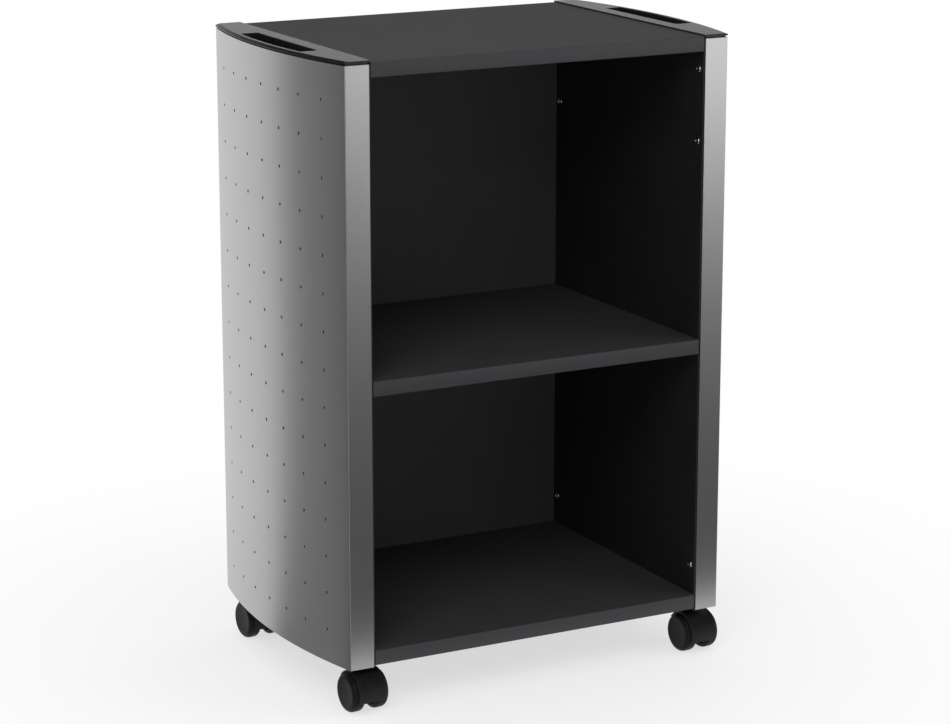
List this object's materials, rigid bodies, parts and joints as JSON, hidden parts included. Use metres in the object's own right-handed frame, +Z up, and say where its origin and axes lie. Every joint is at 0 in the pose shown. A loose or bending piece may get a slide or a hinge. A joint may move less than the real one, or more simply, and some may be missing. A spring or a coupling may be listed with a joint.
{
  "type": "rolling shelf cart",
  "caption": "Rolling office shelf cart: open-fronted compartments for files between curved perforated metal sides, grip caps on top, twin-wheel swivel casters below.",
  "frame": {"origin": "on the floor, under the middle of the cart's four flanges", "axes": "+X to the right seen from the open front, +Y towards the back panel, +Z up"},
  "size_m": [0.578, 0.3908, 0.812],
  "materials": {
    "silver_sheet": "satin silver metallic coating",
    "black_board": "black melamine-faced chipboard",
    "anthracite_board": "anthracite melamine-faced chipboard",
    "edging": "matt ABS edging strip",
    "cap_plastic": "fine-textured moulded black plastic",
    "nylon_hood": "satin black moulded nylon",
    "nylon_wheel": "satin black moulded nylon",
    "zinc_steel": "zinc-plated steel",
    "bright_screws": "nickel-plated steel",
    "beech": "plain beech"
  },
  "bodies": {
    "cart": {"left_side_shell": "silver_sheet", "right_side_shell": "silver_sheet", "left_side_board": "black_board", "right_side_board": "black_board", "left_fixing_angles": "zinc_steel", "right_fixing_angles": "zinc_steel", "left_base_plate": "zinc_steel", "right_base_plate": "zinc_steel", "left_grip_cap": "cap_plastic", "right_grip_cap": "cap_plastic", "top_shelf": "anthracite_board", "middle_shelf": "anthracite_board", "bottom_shelf": "anthracite_board", "top_edging": "edging", "middle_edging": "edging", "bottom_edging": "edging", "back_panel": "anthracite_board", "wall_screws": "bright_screws", "shelf_screws": "zinc_steel", "shelf_dowels": "beech", "back_screws": "zinc_steel", "base_screws": "zinc_steel", "front_left_sleeve": "zinc_steel", "front_right_sleeve": "zinc_steel", "rear_left_sleeve": "zinc_steel", "rear_right_sleeve": "zinc_steel"},
    "front_left_caster": {"front_left_retaining_ring": "zinc_steel", "front_left_stem": "zinc_steel", "front_left_hood": "nylon_hood", "front_left_axle": "zinc_steel"},
    "front_left_wheel_outer": {"front_left_outer_wheel": "nylon_wheel"},
    "front_left_wheel_inner": {"front_left_inner_wheel": "nylon_wheel"},
    "front_right_caster": {"front_right_retaining_ring": "zinc_steel", "front_right_stem": "zinc_steel", "front_right_hood": "nylon_hood", "front_right_axle": "zinc_steel"},
    "front_right_wheel_outer": {"front_right_outer_wheel": "nylon_wheel"},
    "front_right_wheel_inner": {"front_right_inner_wheel": "nylon_wheel"},
    "rear_left_caster": {"rear_left_retaining_ring": "zinc_steel", "rear_left_stem": "zinc_steel", "rear_left_hood": "nylon_hood", "rear_left_axle": "zinc_steel"},
    "rear_left_wheel_outer": {"rear_left_outer_wheel": "nylon_wheel"},
    "rear_left_wheel_inner": {"rear_left_inner_wheel": "nylon_wheel"},
    "rear_right_caster": {"rear_right_retaining_ring": "zinc_steel", "rear_right_stem": "zinc_steel", "rear_right_hood": "nylon_hood", "rear_right_axle": "zinc_steel"},
    "rear_right_wheel_outer": {"rear_right_outer_wheel": "nylon_wheel"},
    "rear_right_wheel_inner": {"rear_right_inner_wheel": "nylon_wheel"}
  },
  "joints": [
    {"name": "front_left_swivel", "type": "hinge", "parent": "cart", "child": "front_left_caster", "pos_m": [-0.2405, -0.158, 0.063], "axis": [0, 0, 1], "continuous": true},
    {"name": "front_left_outer_roll", "type": "hinge", "parent": "front_left_caster", "child": "front_left_wheel_outer", "pos_m": [-0.23982, -0.17098, 0.025], "axis": [0.9986, 0.0523, 0], "continuous": true},
    {"name": "front_left_inner_roll", "type": "hinge", "parent": "front_left_caster", "child": "front_left_wheel_inner", "pos_m": [-0.23982, -0.17098, 0.025], "axis": [0.9986, 0.0523, 0], "continuous": true},
    {"name": "front_right_swivel", "type": "hinge", "parent": "cart", "child": "front_right_caster", "pos_m": [0.2405, -0.158, 0.063], "axis": [0, 0, 1], "continuous": true},
    {"name": "front_right_outer_roll", "type": "hinge", "parent": "front_right_caster", "child": "front_right_wheel_outer", "pos_m": [0.24118, -0.17098, 0.025], "axis": [0.9986, 0.0523, 0], "continuous": true},
    {"name": "front_right_inner_roll", "type": "hinge", "parent": "front_right_caster", "child": "front_right_wheel_inner", "pos_m": [0.24118, -0.17098, 0.025], "axis": [0.9986, 0.0523, 0], "continuous": true},
    {"name": "rear_left_swivel", "type": "hinge", "parent": "cart", "child": "rear_left_caster", "pos_m": [-0.2405, 0.158, 0.063], "axis": [0, 0, 1], "continuous": true},
    {"name": "rear_left_outer_roll", "type": "hinge", "parent": "rear_left_caster", "child": "rear_left_wheel_outer", "pos_m": [-0.23982, 0.14502, 0.025], "axis": [0.9986, 0.0523, 0], "continuous": true},
    {"name": "rear_left_inner_roll", "type": "hinge", "parent": "rear_left_caster", "child": "rear_left_wheel_inner", "pos_m": [-0.23982, 0.14502, 0.025], "axis": [0.9986, 0.0523, 0], "continuous": true},
    {"name": "rear_right_swivel", "type": "hinge", "parent": "cart", "child": "rear_right_caster", "pos_m": [0.2405, 0.158, 0.063], "axis": [0, 0, 1], "continuous": true},
    {"name": "rear_right_outer_roll", "type": "hinge", "parent": "rear_right_caster", "child": "rear_right_wheel_outer", "pos_m": [0.24118, 0.14502, 0.025], "axis": [0.9986, 0.0523, 0], "continuous": true},
    {"name": "rear_right_inner_roll", "type": "hinge", "parent": "rear_right_caster", "child": "rear_right_wheel_inner", "pos_m": [0.24118, 0.14502, 0.025], "axis": [0.9986, 0.0523, 0], "continuous": true}
  ]
}
